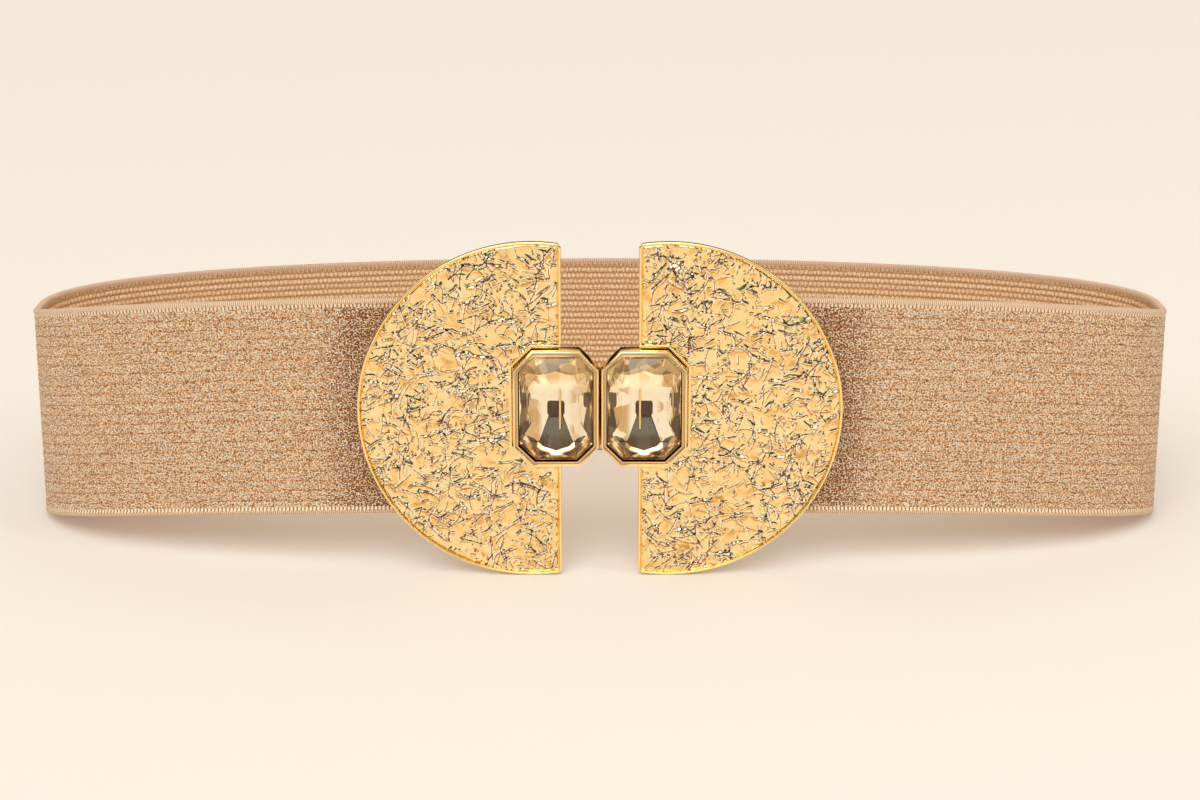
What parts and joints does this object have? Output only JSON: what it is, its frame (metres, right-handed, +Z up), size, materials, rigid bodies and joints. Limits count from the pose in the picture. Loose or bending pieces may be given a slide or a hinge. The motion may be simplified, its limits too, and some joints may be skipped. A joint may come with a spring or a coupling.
{
  "type": "elastic stretch belt with a two-plate clasp buckle",
  "caption": "Wide knitted elastic belt, fastened in an oval loop by a buckle of two crinkled gold disc-segment plates with octagonal crystals.",
  "frame": {"origin": "on the surface that the belt stands on, below the middle of the whole belt's box", "axes": "+X along the long way of the oval loop, to the right as seen from the front; -Y towards the front of the buckle; +Z up"},
  "size_m": [0.3176, 0.1106, 0.0926],
  "materials": {
    "elastic": "knitted metallic yarn with a fine glitter",
    "plate_gold": "polished gold plating over cast crinkle relief",
    "setting_gold": "mirror-polished gold plating",
    "crystal": "faceted champagne crystal, foiled behind",
    "clasp_gold": "satin dark gold strip"
  },
  "bodies": {
    "root": {"elastic_band": "elastic", "left_plate": "plate_gold", "right_plate": "plate_gold", "left_setting": "setting_gold", "right_setting": "setting_gold", "left_stone": "crystal", "right_stone": "crystal", "clasp_hook": "clasp_gold"}
  },
  "joints": []
}
